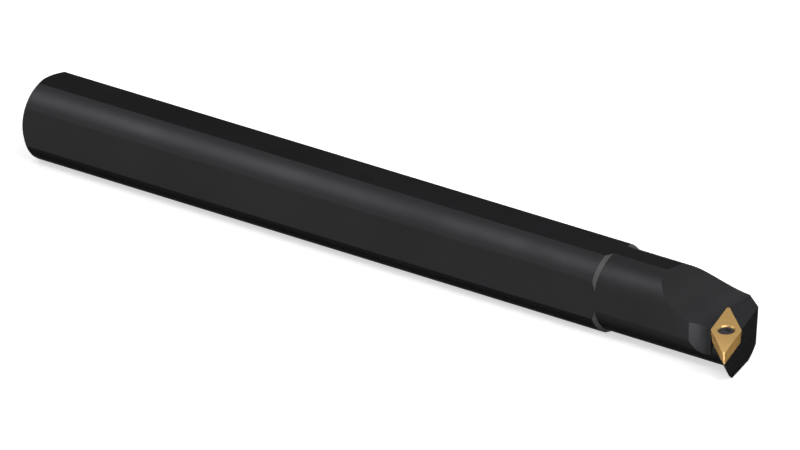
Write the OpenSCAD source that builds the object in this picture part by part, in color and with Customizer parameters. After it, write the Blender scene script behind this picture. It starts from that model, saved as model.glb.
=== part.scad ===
// Boring bar: a round steel bar with four flats, a slightly thinner neck and a head
// that carries a 35 degree diamond insert held by one countersunk screw.
// +X runs from the rear face to the cutting nose, the nose is on the -Y side, +Z is up.
// The origin is the centre of the rear face.

/* [Overall] */
// Length from the rear face to the tip of the nose
overall_len = 200; // [150:1:250]
// Length of neck and head together, from the step to the tip of the nose
head_len = 40.4; // [37:0.1:60]
// Sideways distance from the bar's axis to the tip of the nose
nose_offset = 14.4; // [13.6:0.1:15]

/* [Shank] */
// Diameter of the shank
shank_d = 20; // [19.4:0.1:22]
// Height of shank and neck across the top and bottom flats
flat_h = 18; // [17:0.1:18.4]
// Width of shank and neck across the two side flats
flat_w = 18; // [17:0.1:18.4]
// Size of the 45 degree chamfer round the rear face
rear_chamfer = 1.2; // [0.5:0.1:2]

/* [Neck] */
// Diameter of the neck
neck_d = 18.6; // [18.5:0.1:19.2]
// Length of the cone that steps down from the shank to the neck
step_len = 0.75; // [0.3:0.05:2]

/* [Insert] */
// Diameter of the circle that touches the insert's four top edges
insert_ic = 6.35; // [6.1:0.05:6.5]
// Thickness of the insert
insert_t = 3.18; // [2.6:0.02:3.6]
// Angle between the two edges that meet at the nose
point_angle = 35; // [34:0.5:37]
// Angle by which the insert's sides lean inwards below its top edges
clearance_angle = 5; // [3:0.5:6]
// Radius of the insert's corners
nose_r = 0.4; // [0.4:0.1:0.8]
// Diameter of the hole through the insert
insert_hole_d = 2.8; // [2.7:0.05:3]
// Diameter of the countersink at the insert's top face
sink_d = 4; // [3.8:0.05:4.3]
// Angle between opposite sides of the countersink and of the screw's head
sink_angle = 90; // [80:1:100]

/* [Seat] */
// Direction of the front cutting edge in the seat's plane, counted from +X
lead_angle = 107.9; // [106:0.1:109]
// Tilt of the seat that lowers its front
axial_tilt = 4.2; // [2:0.1:6]
// Tilt of the seat that lowers the nose's side
radial_tilt = 6.2; // [4:0.1:8]
// Gap under the insert
seat_gap = 0.02; // [0.01:0.01:0.05]
// Gap between the insert and the two walls behind it
wall_gap = 0.05; // [0.02:0.01:0.1]
// How far the pocket's round back corner reaches past its walls
corner_relief = 0.03; // [0.01:0.01:0.1]
// How far the steel under the insert stays behind the insert's lower edges
seat_inset = 0.1; // [0.05:0.05:0.3]

/* [Head] */
// Depth of the head's flat top below the insert's top face
top_drop = 0.2; // [0.05:0.05:0.5]
// Distance of the hollow's lowest line behind the nose's sharp corner
hollow_back = 11.4; // [10.6:0.1:13]
// Radius of the hollow that rises from the head's flat top to the neck's top flat
hollow_r = 21; // [17:0.5:26]
// Angle by which the front face leans back below the insert
front_relief = 4; // [2:0.5:7]
// Length along the front edge from the nose to the corner that is cut off
front_edge_len = 21.8; // [20.5:0.1:22.5]
// Angle between the cut that takes this corner off and the bar's axis
corner_cut_angle = 33; // [28:1:40]
// Angle by which the side under the insert leans inwards
side_relief = 21; // [17:1:25]
// Depth below the seat at which that side leans in further
relief_depth = 5; // [4:0.1:5.5]
// Angle of its lower part
lower_relief = 32; // [28:1:40]

/* [Side hollow] */
// Distance of the side hollow's vertical wall, where it ends, inwards from the side flat
side_depth = 0.95; // [0.6:0.05:1.3]
// Distance of that end inwards from the insert's side edge
side_inset = 0.2; // [0.15:0.05:0.5]
// Length of the flat stretch of the wall
side_wall_len = 1.1; // [0.6:0.1:2]
// Angle between this flat stretch and the bar's axis
side_wall_angle = 10.5; // [6:0.5:14]
// Radius of the rest of the wall
side_hollow_r = 5; // [4:0.5:7]

/* [Screw] */
// Diameter of the screw
screw_d = 2.5; // [2.3:0.05:2.6]
// Diameter of the screw's head
screw_head_d = 3.4; // [3.2:0.05:3.6]
// Length of the screw
screw_len = 6; // [5:0.1:6.2]
// Size of the chamfer at the screw's end
screw_chamfer = 0.3; // [0.1:0.05:0.5]
// Gap round the screw in its hole in the steel
screw_gap = 0.03; // [0.02:0.01:0.08]
// Gap between the screw's head and the countersink
head_gap = 0.02; // [0.01:0.01:0.05]
// Depth of the screw hole beyond the screw's end, down to its drill point
hole_spare = 0.2; // [0.1:0.05:0.4]
// Angle between opposite sides of the drill point at the hole's bottom
drill_angle = 118; // [100:1:140]
// Width of the six-lobe socket across opposite lobes
socket_d = 2.3; // [2:0.05:2.4]
// Radius of each of its lobes
lobe_r = 0.3; // [0.24:0.02:0.34]
// Diameter of the socket's round core between the lobes
socket_core_d = 1.75; // [1.6:0.05:1.8]
// Depth of the socket
socket_depth = 1.1; // [0.8:0.1:1.3]

/* [Hidden] */
shank_r = shank_d / 2;
neck_r = neck_d / 2;
step_x = overall_len - head_len;
round_fn = 128;
corner_fn = 32;
// How far past the bar the cutters and the stock of the head reach
margin = 2;
reach = head_len + shank_d;
// The hollow dips this far below the flat top, so that the two surfaces cross
hollow_dip = 0.02;

// Directions in the seat's plane: of the side edge, of the nose and square to the side edge
edge_angle = lead_angle + point_angle;
nose_angle = lead_angle + point_angle / 2 - 180;
function seat_dir(a) = [
    cos(a) * cos(axial_tilt) + sin(a) * sin(radial_tilt) * sin(axial_tilt),
    sin(a) * cos(radial_tilt),
    sin(a) * sin(radial_tilt) * cos(axial_tilt) - cos(a) * sin(axial_tilt)
];

// The insert's top face is a diamond with rounded corners
half_long = insert_ic / 2 / sin(point_angle / 2);
half_short = insert_ic / 2 / cos(point_angle / 2);
edge_len = insert_ic / sin(point_angle);
long_centre = half_long - nose_r / sin(point_angle / 2);
short_centre = half_short - nose_r / cos(point_angle / 2);
lean = insert_t * tan(clearance_angle);

// The sharp corner where the front and side edges would meet lies beyond the rounded nose
nose_dir = seat_dir(nose_angle);
nose_centre = [overall_len - nose_r, nose_r - nose_offset];
sharp_nose = [
    nose_centre.x + (half_long - long_centre) * nose_dir.x,
    nose_centre.y + (half_long - long_centre) * nose_dir.y,
    0
];

// The side hollow's wall ends close to the insert's side corner, on a line parallel
// to the insert's side edge, and its round stretch starts where its flat one ends
side_dir = seat_dir(edge_angle);
side_heading = atan2(side_dir.y, side_dir.x);
side_corner = sharp_nose + edge_len * side_dir;
inset_corner = [
    side_corner.x + side_inset * sin(side_heading),
    side_corner.y - side_inset * cos(side_heading)
];
wall_end_y = side_depth - flat_w / 2;
wall_end_x = inset_corner.x + (wall_end_y - inset_corner.y) / tan(side_heading);

// The cut-off corner of the head, on the front edge's line
far_corner = sharp_nose + front_edge_len * seat_dir(lead_angle);

// Depth of the screw head's top below the insert's top face, where the two cones
// stand head_gap apart
head_depth = (sink_d - screw_head_d) / 2 / tan(sink_angle / 2) - head_gap / sin(sink_angle / 2);

// Places its children in the seat's frame: the sharp nose at the origin, the insert's
// top face in the XY plane
module on_seat()
    translate(sharp_nose) rotate([radial_tilt, axial_tilt, 0]) children();

// Places its children in the insert's frame: the screw's axis is Z, the nose lies on +X
module on_insert()
    on_seat() rotate([0, 0, nose_angle]) translate([-half_long, 0, 0]) children();

// All that lies beyond the YZ plane on its +X side
module beyond()
    translate([0, -reach, -reach]) cube([reach, 2 * reach, 2 * reach]);

// The turned bar: chamfered rear end, shank, step and neck, with four flats
module turned_bar()
    intersection() {
        rotate([0, 90, 0]) rotate_extrude($fn = round_fn) polygon([
            [0, 0],
            [shank_r - rear_chamfer, 0],
            [shank_r, rear_chamfer],
            [shank_r, step_x],
            [neck_r, step_x + step_len],
            [neck_r, overall_len + margin],
            [0, overall_len + margin]
        ]);
        translate([-margin, -flat_w / 2, -flat_h / 2])
            cube([overall_len + 3 * margin, flat_w, flat_h]);
    }

// Stock under the insert, with the side that leans in parallel to the side edge
module nose_block()
    difference() {
        translate([step_x + step_len, -nose_offset - margin, -flat_h / 2])
            cube([head_len + margin, nose_offset + margin, flat_h / 2]);
        on_seat() rotate([0, 0, edge_angle + 90]) translate([-lean - seat_inset, 0, -insert_t]) {
            rotate([0, side_relief, 0]) beyond();
            translate([-relief_depth * tan(side_relief), 0, -relief_depth])
                rotate([0, lower_relief, 0]) beyond();
        }
    }

// Cuts the head's flat top and the hollow that rises from it
module top_cut()
    on_seat() translate([-hollow_back, -reach, -top_drop]) {
        cube([reach, 2 * reach, reach]);
        translate([0, 0, hollow_r - hollow_dip]) rotate([-90, 0, 0])
            cylinder(h = 2 * reach, r = hollow_r, $fn = round_fn);
    }

// Cuts the front face, which leans back below the insert's lower front edge
module front_cut()
    on_seat() rotate([0, 0, lead_angle - 90]) translate([-lean - seat_inset, 0, -insert_t])
        rotate([0, front_relief, 0]) beyond();

// Cuts off the head's far corner, upright
module far_corner_cut()
    translate(far_corner) rotate([0, 0, 90 - corner_cut_angle]) beyond();

// Cuts the upright hollow beside the insert's side corner
module side_hollow_cut()
    intersection() {
        translate([wall_end_x, wall_end_y, 0]) rotate([0, 0, side_heading + 90]) beyond();
        translate([wall_end_x, wall_end_y, -reach]) rotate([0, 0, -side_wall_angle])
            translate([-side_wall_len, 0, 0]) {
                translate([0, -reach, 0]) cube([reach, reach, 2 * reach]);
                translate([0, -side_hollow_r, 0])
                    cylinder(h = 2 * reach, r = side_hollow_r, $fn = round_fn);
            }
    }

// All in front of one of the two walls behind the insert, which lean as its sides do
module before_wall(side)
    rotate([0, 0, side * (180 - point_angle / 2)])
        translate([0, side * (insert_ic / 2 + wall_gap), 0])
            rotate([-side * clearance_angle, 0, 0])
                translate([-reach, side > 0 ? -reach : 0, -reach])
                    cube([2 * reach, reach, 2 * reach]);

// Cuts the pocket: all above the seat and before both walls, with a round back corner
module pocket_cut()
    on_insert() translate([-long_centre, 0, -insert_t - seat_gap]) {
        intersection() {
            translate([0, -reach, 0]) cube([reach, 2 * reach, reach]);
            translate([long_centre, 0, insert_t + seat_gap]) before_wall(-1);
            translate([long_centre, 0, insert_t + seat_gap]) before_wall(1);
        }
        cylinder(h = insert_t + margin, $fn = corner_fn,
                 r = (nose_r + wall_gap) / cos(point_angle / 2) + corner_relief);
    }

// Drills the blind screw hole square to the seat
module screw_hole_cut() {
    hole_r = screw_d / 2 + screw_gap;
    point_h = hole_r / tan(drill_angle / 2);
    on_insert() translate([0, 0, -head_depth - screw_len - hole_spare]) {
        cylinder(h = screw_len, r = hole_r, $fn = round_fn);
        translate([0, 0, -point_h]) cylinder(h = point_h, r1 = 0, r2 = hole_r, $fn = round_fn);
    }
}

// The steel bar with its head
module bar_body()
    color([0.16, 0.16, 0.17]) difference() {
        union() {
            turned_bar();
            nose_block();
        }
        top_cut();
        front_cut();
        far_corner_cut();
        side_hollow_cut();
        pocket_cut();
        screw_hole_cut();
    }

// The diamond insert, narrower at its foot, with a countersunk hole
module cutting_insert()
    color([0.8, 0.64, 0.32]) on_insert() difference() {
        hull()
            for (corner = [[long_centre, 0], [-long_centre, 0], [0, short_centre], [0, -short_centre]])
                translate([corner.x, corner.y, -insert_t])
                    cylinder(h = insert_t, r1 = nose_r - lean, r2 = nose_r, $fn = corner_fn);
        translate([0, 0, -insert_t - margin])
            cylinder(h = insert_t + 2 * margin, d = insert_hole_d, $fn = round_fn);
        cone(sink_d + 2 * margin * tan(sink_angle / 2), insert_hole_d, margin);
    }

// A cone that narrows downwards from its wide end at a height to its narrow diameter
module cone(wide_d, narrow_d, top) {
    height = (wide_d - narrow_d) / 2 / tan(sink_angle / 2);
    translate([0, 0, top - height])
        cylinder(h = height, d1 = narrow_d, d2 = wide_d, $fn = round_fn);
}

// The screw with its conical head and six-lobe socket
module insert_screw()
    color([0.2, 0.19, 0.19]) on_insert() translate([0, 0, -head_depth]) difference() {
        union() {
            cone(screw_head_d, screw_d, 0);
            translate([0, 0, -screw_len + screw_chamfer])
                cylinder(h = screw_len - screw_chamfer - (screw_head_d - screw_d) / 2 / tan(sink_angle / 2),
                         d = screw_d, $fn = round_fn);
            translate([0, 0, -screw_len])
                cylinder(h = screw_chamfer, d1 = screw_d - 2 * screw_chamfer, d2 = screw_d, $fn = round_fn);
        }
        translate([0, 0, -socket_depth]) {
            cylinder(h = socket_depth + margin, d = socket_core_d, $fn = corner_fn);
            for (turn = [0:60:300])
                rotate([0, 0, turn]) translate([socket_d / 2 - lobe_r, 0, 0])
                    cylinder(h = socket_depth + margin, r = lobe_r, $fn = corner_fn);
        }
    }

bar_body();
cutting_insert();
insert_screw();
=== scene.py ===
# %% [markdown]
# # A boring bar in Blender
# A boring bar holds a small hard insert inside a hole on a lathe. It is a long steel rod
# with flats, blackened against rust, with a gold-coated insert screwed to its tip.
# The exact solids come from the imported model. This lesson dresses them: it keeps the bar's
# own mesh, gives the insert and its screw finer surfaces, and makes their finishes.

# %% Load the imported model
import math
import bpy
import numpy as np
from mathutils import Matrix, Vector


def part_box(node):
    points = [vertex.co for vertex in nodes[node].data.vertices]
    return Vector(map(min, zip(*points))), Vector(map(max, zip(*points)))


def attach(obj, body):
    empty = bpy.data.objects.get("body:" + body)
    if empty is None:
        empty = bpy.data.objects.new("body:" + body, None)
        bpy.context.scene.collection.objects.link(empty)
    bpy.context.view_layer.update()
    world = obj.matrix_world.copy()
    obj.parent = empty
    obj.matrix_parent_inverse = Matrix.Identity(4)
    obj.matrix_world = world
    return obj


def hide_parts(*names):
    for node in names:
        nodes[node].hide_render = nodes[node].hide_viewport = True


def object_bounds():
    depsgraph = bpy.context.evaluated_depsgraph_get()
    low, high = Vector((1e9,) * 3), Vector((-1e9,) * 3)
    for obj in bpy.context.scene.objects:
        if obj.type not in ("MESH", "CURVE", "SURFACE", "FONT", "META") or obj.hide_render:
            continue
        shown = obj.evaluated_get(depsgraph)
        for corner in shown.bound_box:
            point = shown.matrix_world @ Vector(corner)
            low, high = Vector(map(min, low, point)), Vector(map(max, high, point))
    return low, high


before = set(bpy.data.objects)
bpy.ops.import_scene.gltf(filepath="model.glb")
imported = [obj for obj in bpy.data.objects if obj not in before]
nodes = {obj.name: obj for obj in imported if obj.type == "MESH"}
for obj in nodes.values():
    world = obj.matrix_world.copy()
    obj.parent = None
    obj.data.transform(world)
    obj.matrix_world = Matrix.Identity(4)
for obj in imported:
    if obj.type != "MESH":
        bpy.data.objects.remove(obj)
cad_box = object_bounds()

print("nodes:", sorted(nodes))
print("box in mm:", [[round(1000 * c, 2) for c in corner] for corner in cad_box])

# %% [markdown]
# ## Sizes and places
# The insert and the screw sit in a seat that is tilted two ways. Everything that is made
# here is worked out in the insert's own frame, with the screw's axis as Z and the nose on
# +X, and one matrix then takes it to its place. That way a surface stays a simple formula.

# %% The sizes that the insert and the screw share
MM = 0.001
OVERALL_LEN = 200 * MM
NOSE_OFFSET = 14.4 * MM
INSERT_IC = 6.35 * MM
INSERT_T = 3.18 * MM
POINT_ANGLE = math.radians(35)
CLEARANCE_ANGLE = math.radians(5)
NOSE_R = 0.4 * MM
HOLE_D = 2.8 * MM
SINK_D = 4.0 * MM
LEAD_ANGLE = math.radians(107.9)
AXIAL_TILT = math.radians(4.2)
RADIAL_TILT = math.radians(6.2)
SCREW_D = 2.5 * MM
SCREW_HEAD_D = 3.4 * MM
SCREW_LEN = 6 * MM
HEAD_GAP = 0.02 * MM
print("insert's circle", round(INSERT_IC / MM, 2), "and thickness", round(INSERT_T / MM, 2))


# %% The matrix that seats the insert
def turn_about(axis, angle):
    """Rotation matrix about x, y or z, by the right-hand rule."""
    c, s = math.cos(angle), math.sin(angle)
    return {
        "x": np.array([[1, 0, 0], [0, c, -s], [0, s, c]]),
        "y": np.array([[c, 0, s], [0, 1, 0], [-s, 0, c]]),
        "z": np.array([[c, -s, 0], [s, c, 0], [0, 0, 1]]),
    }[axis]


nose_angle = LEAD_ANGLE + POINT_ANGLE / 2 - math.pi
seat_tilt = turn_about("y", AXIAL_TILT) @ turn_about("x", RADIAL_TILT)
insert_turn = seat_tilt @ turn_about("z", nose_angle)
to_sharp_nose = INSERT_IC / 2 / math.sin(POINT_ANGLE / 2)
to_nose_centre = to_sharp_nose - NOSE_R / math.sin(POINT_ANGLE / 2)
sharp_nose = np.array([OVERALL_LEN - NOSE_R, NOSE_R - NOSE_OFFSET, 0])
sharp_nose[:2] += (to_sharp_nose - to_nose_centre) * insert_turn[:2, 0]
insert_centre = sharp_nose - to_sharp_nose * insert_turn[:, 0]


def seated(points):
    """Points of the insert's frame at the seat: matrix times point, plus the centre."""
    return points @ insert_turn.T + insert_centre


print("insert's centre in mm:", np.round(insert_centre / MM, 3))

# %% [markdown]
# ## One helper for every new surface
# A closed shape can be worked out as a grid of points: rings along one direction, points
# round each ring along the other. Numpy computes the whole grid at once. The helper joins
# neighbouring points into quads, and closes a shape that ends in two poles with one point
# at each end, so that no seam or hole is left. Edges that turn by more than a given angle
# stay sharp, and the rest is shaded smoothly.

# %% Turn a grid of rings into a mesh
def into_scene(name, data):
    """A new object in the scene that holds a mesh, a lamp or a camera."""
    thing = bpy.data.objects.new(name, data)
    bpy.context.scene.collection.objects.link(thing)
    return thing


def ring_mesh(name, rings, loop, flat_over=30):
    """Mesh of a grid of shape (rings, around, 3), in metres. Quad i, j joins ring i to
    ring i + 1 and point j to point j + 1. With loop the last ring joins the first one,
    and otherwise each end ring closes to a fan about its own middle."""
    rows, around = rings.shape[:2]
    i, j = np.meshgrid(np.arange(rows if loop else rows - 1), np.arange(around), indexing="ij")
    i_next, j_next = (i + 1) % rows, (j + 1) % around
    quads = np.stack([i * around + j, i * around + j_next, i_next * around + j_next,
                      i_next * around + j], -1).reshape(-1, 4)
    points, faces = rings.reshape(-1, 3), quads.tolist()
    if not loop:
        first, last = len(points), len(points) + 1
        points = np.vstack([points, rings[0].mean(0), rings[-1].mean(0)])
        step = np.arange(around)
        after = (step + 1) % around
        base = (rows - 1) * around
        faces += np.stack([after, step, np.full(around, first)], -1).tolist()
        faces += np.stack([base + step, base + after, np.full(around, last)], -1).tolist()
    mesh = bpy.data.meshes.new(name)
    mesh.from_pydata(points, [], faces)
    mesh.update()
    mesh.shade_smooth()
    mesh.set_sharp_from_angle(angle=math.radians(flat_over))
    print(name, "has", len(mesh.polygons), "faces")
    return into_scene(name, mesh)


# %% [markdown]
# ## The insert
# The insert is pressed, sintered, ground and coated. Its outline is a diamond whose four
# corners are small arcs. A Bevel modifier could round the plain solid's edges, but here the
# outline itself does it: each of its points belongs to one outward direction, so an inner
# copy, a lower copy or a rounded edge is the same formula with another inset. The section
# is then a short list of (inset, depth) pairs: top face, honed edge, leaning flank, foot,
# and back up through the hole and its countersink. Smooth shading blends across every face
# beside a rounding, so a guard ring lies close to the rounded edges, and the wide flat
# faces then keep one shade.

# %% The diamond with rounded corners
NEAR_CORNER = 0.01


def diamond(inset, corner_steps=10, side_steps=10):
    """Outline points (n, 2) of the diamond moved inwards by an inset. At a corner the point
    is the arc's centre plus (corner radius - inset) times the direction. Between two corners
    the points divide the straight side evenly, with a guard point at the share NEAR_CORNER
    from each end."""
    tilt = math.pi / 2 - POINT_ANGLE / 2
    to_side_centre = (INSERT_IC / 2 - NOSE_R) / math.cos(POINT_ANGLE / 2)
    centres = np.array([[to_nose_centre, 0], [0, to_side_centre],
                        [-to_nose_centre, 0], [0, -to_side_centre]])
    starts = np.array([-tilt, tilt, math.pi - tilt, math.pi + tilt])
    ends = np.array([tilt, math.pi - tilt, math.pi + tilt, 2 * math.pi - tilt])
    share = np.linspace(0, 1, corner_steps)
    angles = starts[:, None] + (ends - starts)[:, None] * share
    arc = np.stack([np.cos(angles), np.sin(angles)], -1)
    corners = centres[:, None] + (NOSE_R - inset) * arc
    nexts = np.roll(corners[:, 0], -1, axis=0)
    even = np.linspace(0, 1, side_steps + 1)[1:-1]
    along = np.array([NEAR_CORNER, *even, 1 - NEAR_CORNER])[:, None]
    sides = corners[:, -1][:, None] * (1 - along) + nexts[:, None] * along
    return np.concatenate([corners, sides], axis=1).reshape(-1, 2)


print("points round the insert:", len(diamond(0)))

# %% The two sides of its section
HONE = 0.03 * MM
FOOT = 0.06 * MM
RIM = 0.04 * MM
GUARD = 0.02 * MM


def outer_section(hone_steps=5, flank_steps=8):
    """Pairs (inset, depth) from the top face to the foot. The honed edge is a quarter circle,
    inset = hone * (1 - sin t) and depth = hone * (1 - cos t). On the flank
    inset = depth * tan(clearance)."""
    lean = math.tan(CLEARANCE_ANGLE)
    quarter = np.linspace(0, math.pi / 2, hone_steps)
    honed = [(HONE * (1 - math.sin(t)), HONE * (1 - math.cos(t))) for t in quarter]
    depths = (HONE + GUARD, *np.linspace(HONE, INSERT_T - FOOT, flank_steps)[1:])
    flank = [(depth * lean, depth) for depth in depths]
    return [(HONE + GUARD, 0), *honed, *flank, (INSERT_T * lean + FOOT, INSERT_T)]


def hole_section():
    """Pairs (radius, depth) from the foot up the plain hole, the 45 degree countersink, where
    radius = countersink radius - depth, and its rounded rim to the top face."""
    hole_r, sink_r = HOLE_D / 2, SINK_D / 2
    sink_depth = sink_r - hole_r
    plain = [(hole_r + RIM, INSERT_T), (hole_r, INSERT_T - RIM),
             (hole_r, sink_depth + 2 * RIM)]
    cone = [(hole_r, sink_depth + RIM), (hole_r + RIM, sink_depth - RIM),
            (sink_r - 3 * RIM, 3 * RIM), (sink_r - RIM, RIM)]
    rim = [(sink_r - 0.3 * RIM, 0.3 * RIM), (sink_r + RIM, 0), (sink_r + RIM + GUARD, 0)]
    return plain + cone + rim


print("rings of the insert:", len(outer_section()), "outside,", len(hole_section()), "inside")


# %% The insert in one grid
def insert_rings(face_steps=6):
    """Grid of the insert: an outer ring is the diamond at an inset and a depth, an inner
    one a circle, and rings between them on a face mix the two by a share from 0 to 1."""
    outline = diamond(0)
    around = np.arctan2(outline[:, 1], outline[:, 0])
    circle = np.stack([np.cos(around), np.sin(around)], -1)

    def ring(flat, depth):
        """Flat points (n, 2) placed at z = -depth."""
        return np.column_stack([flat, np.full(len(flat), -depth)])

    outer = [ring(diamond(inset), depth) for inset, depth in outer_section()]
    hole = [ring(radius * circle, depth) for radius, depth in hole_section()]
    shares = np.linspace(0, 1, face_steps)[1:-1]
    below = [outer[-1] * (1 - s) + hole[0] * s for s in shares]
    above = [hole[-1] * (1 - s) + outer[0] * s for s in shares]
    return np.array(outer + below + hole + above)


insert = ring_mesh("coated_insert", seated(insert_rings()), loop=True)

# %% [markdown]
# ## The screw
# The screw is turned: a low round crown on a cone, a thin shank with a rolled thread, a
# short chamfer at the end. Its socket has six lobes, which is one wave round the circle:
# the radius swings six times between the lobes' width and the core's. The thread is the
# same idea along the shank: the radius swings once for each pitch, and the swing moves on
# round the circle, which winds it into a helix. A Boolean could cut the socket and a Screw
# modifier wind the thread, but as one grid the screw is closed from its socket to its tip.
# Each part is a list of (radius, depth) rows, from the socket's floor up, over the crown
# and down to the tip.

# %% The socket and the round crown
POINTS_AROUND = 96
LOBES = 6
SOCKET_MEAN_R = 1.01 * MM
SOCKET_SWING = 0.14 * MM
SOCKET_DEPTH = 0.7 * MM
FLOOR_CENTRE_R = 0.3 * MM
CROWN = 0.16 * MM
CROWN_SHARES = (0, 0.1, 0.4, 0.7, 0.85, 0.94, 1)
BEVEL = 0.05 * MM
head_r, shank_r = SCREW_HEAD_D / 2, SCREW_D / 2
turn = np.linspace(0, 2 * math.pi, POINTS_AROUND, endpoint=False)
wall_r = SOCKET_MEAN_R + SOCKET_SWING * np.cos(LOBES * turn)


def socket_rows():
    """The floor, a rounded corner and the wall, where radius = mean + swing *
    cos(lobes * angle). The floor's edge and the corner are shares of the wall's radius."""
    level = [(FLOOR_CENTRE_R, SOCKET_DEPTH), (0.9 * wall_r, SOCKET_DEPTH)]
    corner = [(0.97 * wall_r, SOCKET_DEPTH - BEVEL), (wall_r, SOCKET_DEPTH - 3 * BEVEL)]
    wall = [(wall_r, 3 * BEVEL), (wall_r, 1.5 * BEVEL - CROWN)]
    return level + corner + wall


def crown_rows():
    """From the socket's rim out to the cone: depth = crown * (radius / head radius)^4 -
    crown, which is a low dome that steepens towards its rim."""
    inside, outside = wall_r + BEVEL, head_r - 0.3 * BEVEL
    radii = [inside * (1 - share) + outside * share for share in CROWN_SHARES]
    return [(radius, CROWN * (radius / head_r) ** 4 - CROWN) for radius in radii]


print("socket from", round(wall_r.min() / MM, 2), "to", round(wall_r.max() / MM, 2), "mm")

# %% The cone and the plain shank
PLAIN_LEN = 1.2 * MM
cone_end = head_r - shank_r
thread_start = cone_end + PLAIN_LEN


def shank_rows(cone_steps=6, plain_steps=4):
    """The 45 degree cone, where radius = head radius - depth, then the plain shank."""
    cone_depths = np.linspace(1.4 * BEVEL, cone_end, cone_steps)
    plain_depths = np.linspace(cone_end, thread_start, plain_steps)[1:]
    return [(head_r - down, down) for down in cone_depths] + [
        (shank_r, down) for down in plain_depths]


print("rows from crown to thread:", len(shank_rows()))

# %% The thread and the tip
PITCH = 0.45 * MM
THREAD_HEIGHT = 0.2 * MM
VALLEY_WIDTH, VALLEY_SLOPE = 1.25, 1.5
TIP_LEN = 0.3 * MM
TIP_BEVEL = 0.1 * MM
RUN_OUT = 0.02 * MM
thread_end = SCREW_LEN - TIP_LEN


def thread_rows(steps_per_pitch=12):
    """Radius = shank - height * valley. The valley runs with depth / pitch - angle / turn:
    it is 0 on a crest and 1 in a root, each flat for a sixth of the pitch, with straight
    slopes between them. The thread fades in over its first pitch."""
    rows = []
    for down in np.arange(thread_start, thread_end, PITCH / steps_per_pitch)[1:]:
        phase = (down / PITCH - turn / (2 * math.pi)) % 1
        valley = np.clip(VALLEY_WIDTH - np.abs(2 * phase - 1) * VALLEY_SLOPE, 0, 1)
        fade = min(1, (down - thread_start) / PITCH)
        rows.append((shank_r - THREAD_HEIGHT * fade * valley, down))
    return rows


def tip_rows():
    """A plain end of the root's radius, with a 45 degree chamfer."""
    root_r = shank_r - THREAD_HEIGHT
    return [(root_r, thread_end + RUN_OUT), (root_r, SCREW_LEN - TIP_BEVEL),
            (root_r - TIP_BEVEL, SCREW_LEN)]


print("rows of thread and tip:", len(thread_rows()) + len(tip_rows()))


# %% The screw in one grid
def screw_rings():
    """Grid of the screw about Z, the cone's wide end at 0: x = radius * cos(angle),
    y = radius * sin(angle) and z = -depth."""
    rows = socket_rows() + crown_rows() + shank_rows() + thread_rows() + tip_rows()
    grid = np.array([np.broadcast_arrays(radius, depth, turn)[:2] for radius, depth in rows])
    radius, depth = grid[:, 0], grid[:, 1]
    return np.stack([radius * np.cos(turn), radius * np.sin(turn), -depth], -1)


head_depth = (SINK_D - SCREW_HEAD_D) / 2 - HEAD_GAP * math.sqrt(2)
screw_grid = seated(screw_rings() - [0, 0, head_depth])
screw = ring_mesh("six_lobe_screw", screw_grid, loop=False, flat_over=40)

# %% [markdown]
# ## Fit the new pieces into the frame
# Each new piece stands for one solid of the model: it rides on the same body and hides the
# plain solid. The printed boxes show that it stays in place.

# %% Ride, replace and measure
for piece, node, slot in ((insert, "cutting_insert", "gold_carbide"),
                          (screw, "insert_screw", "dark_screw")):
    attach(piece, "root")
    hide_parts(node)
    points = np.array([v.co for v in piece.data.vertices])
    off = np.abs(np.array([points.min(0), points.max(0)]) - np.array(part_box(node)))
    print(piece.name, "off by at most", round(off.max() / MM, 3), "mm")

# %% [markdown]
# ## Finishes
# None of the three finishes is one flat colour. A blackened surface is slightly cloudy, a
# ground or turned one has fine lines along the tool's path, and a coating on ground carbide
# shows both. The first effect is a node group with its own inputs, so that each material
# asks for it with its own values. It only makes a tone and a height: the shader stays in
# the material, where the export can read it. A few helpers come first, because a node takes
# at least three lines otherwise: make it, set it and link it.

# %% Make a node, set it and link it
def feed(tree, value, socket):
    """Link another node's output to an input, or write a plain value there. A colour is
    three numbers and gets its alpha of 1 here."""
    if isinstance(value, bpy.types.NodeSocket):
        tree.links.new(value, socket)
    else:
        socket.default_value = (*value, 1) if socket.type == "RGBA" else value


def add_node(tree, kind, inputs=(), **settings):
    """A node of a kind, with its settings by name. The inputs pair the title or number of
    an input with what feeds it, as a dictionary or a list of pairs."""
    node = tree.nodes.new(kind)
    for name, value in settings.items():
        setattr(node, name, value)
    for slot, value in dict(inputs).items():
        feed(tree, value, node.inputs[slot])
    return node


# %% Nodes that work out a value
def math_node(tree, operation, *inputs, clamp=False):
    """The result of a Math node on one or two inputs."""
    node = add_node(tree, "ShaderNodeMath", enumerate(inputs), operation=operation,
                    use_clamp=clamp)
    return node.outputs[0]


def vector_node(tree, operation, *inputs):
    """The result of a Vector Math node: the one output that its operation leaves in use."""
    node = add_node(tree, "ShaderNodeVectorMath", enumerate(inputs), operation=operation)
    return next(output for output in node.outputs if output.enabled)


def mix_node(tree, share, first, second, kind="RGBA", blend="MIX"):
    """A Mix node: first where the share is 0 and second where it is 1. It has sockets for
    every kind of value, and only those of its own kind are in use."""
    node = add_node(tree, "ShaderNodeMix", data_type=kind, blend_type=blend)
    in_use = [socket for socket in node.inputs if socket.enabled]
    for socket, value in zip(in_use, (share, first, second)):
        feed(tree, value, socket)
    return next(output for output in node.outputs if output.enabled)


# %% A kit for node groups
def new_group(name, inputs, outputs):
    """A shader group with named sockets, each title with its kind. Returns the group, what
    comes in and where it goes out."""
    group = bpy.data.node_groups.new(name, "ShaderNodeTree")
    for titles, way in ((inputs, "INPUT"), (outputs, "OUTPUT")):
        for title, kind in titles.items():
            group.interface.new_socket(title, in_out=way, socket_type="NodeSocket" + kind)
    came_in = group.nodes.new("NodeGroupInput").outputs
    goes_out = group.nodes.new("NodeGroupOutput").inputs
    print("group", name, "gives", sorted(outputs))
    return group, came_in, goes_out


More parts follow.
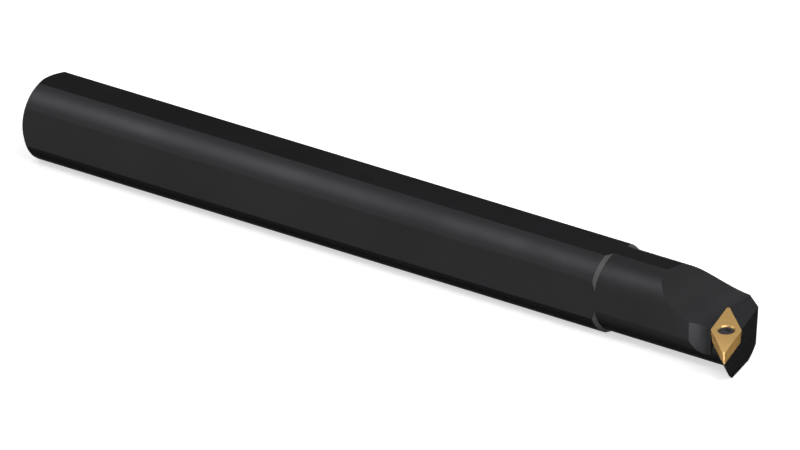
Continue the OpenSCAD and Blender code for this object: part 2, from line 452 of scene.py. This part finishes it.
def group_node(tree, group, inputs):
    """The outputs of a group that is placed in a material with its own values."""
    return add_node(tree, "ShaderNodeGroup", inputs, node_tree=group).outputs


# %% The grain that grinding and blacking leave
def tool_grain_group():
    """Tone = 1 + 2 * depth * (noise - 0.5), with noise at a coarse and a fine scale. Height
    is noise on coordinates that are squeezed along the tool's path, which draws it out to
    lines."""
    group, came_in, goes_out = new_group(
        "tool_grain",
        {"Place": "Vector", "Cloud per metre": "Float", "Cloud depth": "Float",
         "Lines per metre": "Float", "Path stretch": "Vector"},
        {"Tone": "Float", "Height": "Float"})
    cloud = add_node(group, "ShaderNodeTexNoise",
                     {"Vector": came_in["Place"], "Scale": came_in["Cloud per metre"],
                      "Detail": 4.0, "Roughness": 0.6}).outputs["Fac"]
    swing = math_node(group, "MULTIPLY", math_node(group, "SUBTRACT", cloud, 0.5),
                      came_in["Cloud depth"])
    tone = math_node(group, "ADD", math_node(group, "MULTIPLY", swing, 2.0), 1.0)
    drawn = vector_node(group, "MULTIPLY", came_in["Place"], came_in["Path stretch"])
    lines = add_node(group, "ShaderNodeTexNoise",
                     {"Vector": drawn, "Scale": came_in["Lines per metre"],
                      "Detail": 2.0, "Roughness": 0.5}).outputs["Fac"]
    feed(group, tone, goes_out["Tone"])
    feed(group, lines, goes_out["Height"])
    return group


tool_grain = tool_grain_group()


# %% What all three finishes share
def new_material(name):
    """A material with nodes: itself, its tree, and the object's own coordinates."""
    material = bpy.data.materials.new(name)
    material.use_nodes = True
    tree = material.node_tree
    return material, tree, tree.nodes.new("ShaderNodeTexCoord").outputs["Object"]


def grained_metal(tree, tone, height, colour, metallic, roughness, bump_height,
                  edge_tint=(1, 1, 1), gloss=0.1):
    """Feed the Principled shader: base colour = colour * tone, so that a cloud darkens it,
    roughness = roughness + 1 - tone, and the normal leans by the height's bump."""
    tinted = mix_node(tree, 1.0, colour, tone, blend="MULTIPLY")
    rough = math_node(tree, "SUBTRACT", 1 + roughness, tone)
    bump = add_node(tree, "ShaderNodeBump",
                    {"Strength": 1.0, "Distance": bump_height, "Height": height})
    for title, value in {"Base Color": tinted, "Metallic": metallic, "Roughness": rough,
                         "Normal": bump.outputs["Normal"], "Specular IOR Level": gloss,
                         "Specular Tint": edge_tint}.items():
        feed(tree, value, tree.nodes["Principled BSDF"].inputs[title])


# %% [markdown]
# ### Blackened steel
# The bar is turned, its flats are ground along their length, and the whole is then dipped to
# blacken it. So the fine lines run round the bar on its round stretches and along it on the
# flats. A second material on chosen faces could show that, but the bar keeps the packed
# solid's mesh, so a mask does it. The flats are where a point's height or width reaches the
# flats' distance, and that simple test on the object's own coordinates chooses between the two
# grains. The cone of the step gets a paler colour and less metal, a painted highlight that
# makes it show as a bright ring. It lies between two places along the bar, one more test of
# the same kind.

# %% Turned on the rounds, ground on the flats
FLAT_AT = 8.98 * MM
STEP_X = 159.6 * MM
STEP_LEN = 0.75 * MM
# The second, paler colour goes on the step's cone and is a painted highlight.
STEEL, STEP_HIGHLIGHT_STEEL = (0.0258, 0.0258, 0.0272), (0.066, 0.066, 0.068)
STEEL_METALLIC, STEP_METALLIC = 1.0, 0.25
STEEL_CLOUD = {"Cloud per metre": 45.0, "Cloud depth": 0.1}
ROUND_LINES = {"Lines per metre": 3000.0, "Path stretch": (1, 0.02, 0.02)}
LONG_LINES = {"Lines per metre": 2500.0, "Path stretch": (0.02, 1, 1)}


def blackened_steel():
    """One mask is 1 on the flats, where the larger of |y| and |z| passes FLAT_AT. Another is 1
    off the flats where |x - the step's middle| is under half the step's length, and there the
    paler colour and lower Metallic are a painted highlight."""
    material, tree, place = new_material("blackened_steel")
    x, y, z = add_node(tree, "ShaderNodeSeparateXYZ", {0: place}).outputs
    across = math_node(tree, "MAXIMUM", math_node(tree, "ABSOLUTE", y),
                       math_node(tree, "ABSOLUTE", z))
    on_flat = math_node(tree, "GREATER_THAN", across, FLAT_AT)
    from_middle = math_node(tree, "SUBTRACT", x, STEP_X + STEP_LEN / 2)
    in_step = math_node(tree, "LESS_THAN", math_node(tree, "ABSOLUTE", from_middle),
                        STEP_LEN / 2)
    on_step = math_node(tree, "MULTIPLY", in_step, math_node(tree, "SUBTRACT", 1.0, on_flat))
    turned = group_node(tree, tool_grain, {"Place": place} | STEEL_CLOUD | ROUND_LINES)
    ground = group_node(tree, tool_grain, {"Place": place} | STEEL_CLOUD | LONG_LINES)
    grained_metal(
        tree, turned["Tone"],
        mix_node(tree, on_flat, turned["Height"], ground["Height"], kind="FLOAT"),
        colour=mix_node(tree, on_step, STEEL, STEP_HIGHLIGHT_STEEL),
        metallic=mix_node(tree, on_step, STEEL_METALLIC, STEP_METALLIC, kind="FLOAT"),
        roughness=0.43, bump_height=0.0016 * MM, edge_tint=(0.33, 0.33, 0.33))
    return material


steel = blackened_steel()
print(steel.name, "has", len(steel.node_tree.nodes), "nodes")

# %% [markdown]
# ### Where a point lies in the seat
# The insert and the screw each have two finishes, and the border between them follows the
# seat's tilted directions. On the insert's flanks the second one is darker, a painted shade,
# and in the screw's socket it is paler, a painted light. A second node group gives both
# materials a point's place in the insert's frame, and each material then makes its own mask
# from simple limits.

# %% The place in the insert's frame
def seat_place_group():
    """Up and Along are the dot products of (place - centre) with the frame's Z and X. Radius
    is the length of its cross product with Z, which is the distance from the screw's axis."""
    group, came_in, goes_out = new_group(
        "seat_place",
        {"Place": "Vector"},
        {"Up": "Float", "Along": "Float", "Radius": "Float"})
    nose_way, up_way = insert_turn[:, 0], insert_turn[:, 2]
    away = vector_node(group, "SUBTRACT", came_in["Place"], insert_centre)
    sideways = vector_node(group, "CROSS_PRODUCT", away, up_way)
    feed(group, vector_node(group, "DOT_PRODUCT", away, up_way), goes_out["Up"])
    feed(group, vector_node(group, "DOT_PRODUCT", away, nose_way), goes_out["Along"])
    feed(group, vector_node(group, "LENGTH", sideways), goes_out["Radius"])
    return group


seat_place = seat_place_group()

# %% [markdown]
# ### Gold coating
# The insert's coating is a thin pale gold film: a soft metal with a very fine grain. It is
# smooth on the faces and at the nose, where the carbide was honed, and more matt on the four
# flanks, which are only ground. The matt look comes from a lower Metallic value, with which
# the surface scatters more of its light and mirrors less of it. The flanks also get a darker,
# browner colour, which is painted shade.

# %% Gold that is matt and painted darker on the flanks
# The second, darker colour goes on the flanks and is painted shade.
GOLD, FLANK_SHADE_GOLD = (0.39, 0.25, 0.102), (0.3, 0.18, 0.065)
GOLD_METALLIC, FLANK_METALLIC = 0.6, 0.2
GOLD_GRAIN = {"Cloud per metre": 600.0, "Cloud depth": 0.03,
              "Lines per metre": 9000.0, "Path stretch": (1, 0.3, 1)}
BELOW_HONE = 0.05 * MM
CLEAR_OF_SINK = 0.3 * MM


def gold_coating():
    """The mask is 1 on the flanks, which get a lower Metallic and the darker colour of painted
    shade: where Up is under the honed edge, Radius is outside the countersink and |Along| is
    short of the centre of the nose's rounding."""
    material, tree, place = new_material("gold_coating")
    grain = group_node(tree, tool_grain, {"Place": place} | GOLD_GRAIN)
    seat = group_node(tree, seat_place, {"Place": place})
    below = math_node(tree, "LESS_THAN", seat["Up"], -BELOW_HONE)
    outside = math_node(tree, "GREATER_THAN", seat["Radius"], SINK_D / 2 + CLEAR_OF_SINK)
    along = math_node(tree, "ABSOLUTE", seat["Along"])
    between = math_node(tree, "LESS_THAN", along, to_nose_centre)
    on_side = math_node(tree, "MULTIPLY", below, outside)
    on_flank = math_node(tree, "MULTIPLY", on_side, between)
    grained_metal(
        tree, grain["Tone"], grain["Height"],
        colour=mix_node(tree, on_flank, GOLD, FLANK_SHADE_GOLD),
        metallic=mix_node(tree, on_flank, GOLD_METALLIC, FLANK_METALLIC, kind="FLOAT"),
        roughness=0.20, bump_height=0.0005 * MM, edge_tint=(0.5, 0.4, 0.26), gloss=0.0)
    return material


gold = gold_coating()
print(gold.name, "has", len(gold.node_tree.nodes), "nodes")

# %% [markdown]
# ### Dark screw
# The screw is blackened like the bar. Inside the socket its colour is paler than on the head
# round it, which is painted light that lifts the shade in the socket. Its mask is a cylinder
# about the screw's axis: all that lies under the crown and no farther out than the lobes. The
# roots of the thread lie in it too, but out of sight in the hole.

# %% Dark steel with painted light in the socket
# The second, paler colour goes in the socket and is painted light against the shade there.
SCREW_STEEL, SOCKET_LIGHT_STEEL = (0.02, 0.019, 0.02), (0.09, 0.0855, 0.09)
SCREW_GRAIN = {"Cloud per metre": 400.0, "Cloud depth": 0.06,
               "Lines per metre": 8000.0, "Path stretch": (1, 1, 0.2)}
SOCKET_REACH = 1.2 * MM
UNDER_CROWN = 0.1 * MM


def dark_screw_steel():
    """The mask is 1 in the socket, which gets the paler colour of painted light: where Up is
    below the crown and Radius is under the lobes' reach."""
    material, tree, place = new_material("dark_screw_steel")
    grain = group_node(tree, tool_grain, {"Place": place} | SCREW_GRAIN)
    seat = group_node(tree, seat_place, {"Place": place})
    below = math_node(tree, "LESS_THAN", seat["Up"], UNDER_CROWN - head_depth)
    within = math_node(tree, "LESS_THAN", seat["Radius"], SOCKET_REACH)
    in_socket = math_node(tree, "MULTIPLY", below, within)
    grained_metal(
        tree, grain["Tone"], grain["Height"],
        colour=mix_node(tree, in_socket, SCREW_STEEL, SOCKET_LIGHT_STEEL),
        metallic=0.3, roughness=0.5, bump_height=0.001 * MM)
    return material


screw_steel = dark_screw_steel()
print(screw_steel.name, "has", len(screw_steel.node_tree.nodes), "nodes")

# %% [markdown]
# ### Give each piece its finish
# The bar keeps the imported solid's mesh and only gets a new material, in its own slot.

# %% One material for each piece
for piece, material in ((nodes["bar_body"], steel), (insert, gold), (screw, screw_steel)):
    piece.data.materials.clear()
    piece.data.materials.append(material)
    print(piece.name, "is finished in", material.name)

# %% [markdown]
# ## Floor, background and light
# The bar lies on its lower flat on a plain pale floor. The floor adds a little light of its
# own where the camera or a reflection sees it, so that it is white and still keeps the
# bar's shadow. A reflection gets three quarters of that light, because the steel's side
# would otherwise shine too much. The world is white to the same rays and dimmer as a lamp.

# %% A pale floor that keeps the shadow
FLOOR_HALF = 2.0
FLOOR_PAINT = (0.8, 0.8, 0.8)
FLOOR_GLOW = 0.6
GLOW_IN_GLOSS = 0.75
WHITE = (1, 1, 1)
FLOOR_GAP = 0.02 * MM
floor_z = cad_box[0][2] - FLOOR_GAP


def seen_rays(tree, in_gloss=1.0):
    """1 on rays from the camera and through glass, in_gloss on rays off gloss, else 0: a
    sum that stops at 1."""
    path = tree.nodes.new("ShaderNodeLightPath").outputs
    gloss = math_node(tree, "MULTIPLY", path["Is Glossy Ray"], in_gloss)
    seen = math_node(tree, "ADD", path["Is Camera Ray"], gloss, clamp=True)
    return math_node(tree, "ADD", seen, path["Is Transmission Ray"], clamp=True)


def floor_material():
    """From above it is diffuse paint plus a glow of FLOOR_GLOW on the rays that see it, and
    from below it is clear, so that the bar's underside can be viewed."""
    material = bpy.data.materials.new("pale_floor")
    material.use_nodes = True
    tree = material.node_tree
    tree.nodes.remove(tree.nodes["Principled BSDF"])
    strength = math_node(tree, "MULTIPLY", seen_rays(tree, GLOW_IN_GLOSS), FLOOR_GLOW)
    paint = add_node(tree, "ShaderNodeBsdfDiffuse", {"Color": FLOOR_PAINT})
    glow = add_node(tree, "ShaderNodeEmission", {"Color": WHITE, "Strength": strength})
    both = add_node(tree, "ShaderNodeAddShader", {0: paint.outputs[0], 1: glow.outputs[0]})
    clear = tree.nodes.new("ShaderNodeBsdfTransparent")
    from_below = tree.nodes.new("ShaderNodeNewGeometry").outputs["Backfacing"]
    side = add_node(tree, "ShaderNodeMixShader",
                    {0: from_below, 1: both.outputs[0], 2: clear.outputs[0]})
    feed(tree, side.outputs[0], tree.nodes["Material Output"].inputs["Surface"])
    return material


def pale_floor(half, height):
    """One square of the given half width, facing up."""
    mesh = bpy.data.meshes.new("floor")
    corners = [(-half, -half, height), (half, -half, height),
               (half, half, height), (-half, half, height)]
    mesh.from_pydata(corners, [], [(0, 1, 2, 3)])
    mesh.materials.append(floor_material())
    return into_scene("floor", mesh)


floor = pale_floor(FLOOR_HALF, floor_z)
print("floor at z", round(floor_z / MM, 3), "mm")

# %% A white world that lights softly
WORLD_LIGHT = 0.15
world = bpy.data.worlds.new("studio")
bpy.context.scene.world = world
world.use_nodes = True
world_tree = world.node_tree
extra = math_node(world_tree, "MULTIPLY", seen_rays(world_tree), 1 - WORLD_LIGHT)
strength = math_node(world_tree, "ADD", extra, WORLD_LIGHT)
backdrop = world_tree.nodes["Background"]
feed(world_tree, WHITE, backdrop.inputs["Color"])
feed(world_tree, strength, backdrop.inputs["Strength"])
print("world strength", WORLD_LIGHT, "as a lamp and 1 where it is seen")

# %% [markdown]
# ### Soft lamps
# Dark polished metal shows the lamps more than their light: each one is seen as a soft band
# where the surface turns its way. So the lamps are placed by the directions that the bar's
# faces mirror towards the camera, and their brightness is given as what such a band shows.

# %% Soft lamps by direction, width and brightness
MIDDLE = np.array([0.15, 0, 0])


def soft_lamp(name, azimuth, elevation, width, brightness, distance=1.5):
    """A square area lamp at middle + distance * direction, facing the bar. Its power is pi
    times its area times the brightness, which a mirror would show. Azimuth runs from +X
    towards +Y."""
    a, e = math.radians(azimuth), math.radians(elevation)
    away = np.array([math.cos(e) * math.cos(a), math.cos(e) * math.sin(a), math.sin(e)])
    data = bpy.data.lights.new(name, "AREA")
    data.size = width
    data.energy = math.pi * width * width * brightness
    lamp = into_scene(name, data)
    lamp.location = MIDDLE + away * distance
    z = away / np.linalg.norm(away)
    x = np.cross((0, 0, 1), z)
    x /= np.linalg.norm(x)
    lamp.rotation_euler = Matrix(np.stack([x, np.cross(z, x), z], -1)).to_euler()
    print(name, "gives", round(data.energy, 2), "W")


soft_lamp("right_key", azimuth=-12, elevation=36, width=0.9, brightness=5.0)
soft_lamp("front_fill", azimuth=-70, elevation=20, width=0.7, brightness=0.5)
soft_lamp("left_key", azimuth=214, elevation=46, width=0.5, brightness=6.2)
soft_lamp("front_top", azimuth=-48, elevation=53, width=0.5, brightness=3.5)
soft_lamp("back_left", azimuth=128, elevation=53, width=0.5, brightness=3.2)
soft_lamp("back_right", azimuth=75, elevation=56, width=0.5, brightness=1.2)

# %% [markdown]
# ### A pool of light for the nose
# The nose is a narrow upright rounding, and it mirrors the floor in front of it. A spot lamp
# straight above lights that place, which gives the nose its bright stripe. The pool itself
# doesn't show, because the floor is already white where it is seen.

# %% A spot lamp above the floor
def floor_spot(name, x, y, radius, power, height=0.5, edge=0.5, lamp_r=0.01):
    """A spot lamp whose cone is 2 * atan(radius / height) wide, with a soft edge."""
    data = bpy.data.lights.new(name, "SPOT")
    data.energy = power
    data.spot_size = 2 * math.atan(radius / height)
    data.spot_blend = edge
    data.shadow_soft_size = lamp_r
    lamp = into_scene(name, data)
    lamp.location = (x, y, height)
    print(name, "is", round(2 * radius / MM), "mm wide")


floor_spot("floor_pool", x=0.209, y=-0.0455, radius=0.034, power=44.0)

# %% [markdown]
# ## Camera
# The picture to match has no perspective: parallel edges of the bar stay parallel in it. A
# very long lens from far away comes close to that. The camera looks down on the bar by
# about 22 degrees, from in front and to the right.

# %% A long lens at the picture's angle
VIEW_AZIMUTH = math.radians(38.8)
VIEW_ELEVATION = math.radians(22.3)
VIEW_WIDTH = 173.75 * MM
VIEW_CENTRE = np.array([99.7, -0.4, -0.6]) * MM
LENS = 950.0
SENSOR = 36.0
FARTHEST = 100.0

camera_data = bpy.data.cameras.new("long_lens")
camera_data.lens = LENS
camera_data.sensor_width = SENSOR
camera_data.clip_end = FARTHEST
camera = into_scene("camera", camera_data)
bpy.context.scene.camera = camera
to_camera = np.array([math.sin(VIEW_AZIMUTH) * math.cos(VIEW_ELEVATION),
                      -math.cos(VIEW_AZIMUTH) * math.cos(VIEW_ELEVATION),
                      math.sin(VIEW_ELEVATION)])
camera.location = VIEW_CENTRE + to_camera * VIEW_WIDTH * LENS / SENSOR
camera.rotation_euler = (math.pi / 2 - VIEW_ELEVATION, 0, VIEW_AZIMUTH)
print("camera stands", round(VIEW_WIDTH * LENS / SENSOR, 3), "m from the bar")

# %% [markdown]
# ## Finish
# Plain view settings keep the written colours.

# %% View settings
bpy.context.scene.view_settings.view_transform = "Standard"
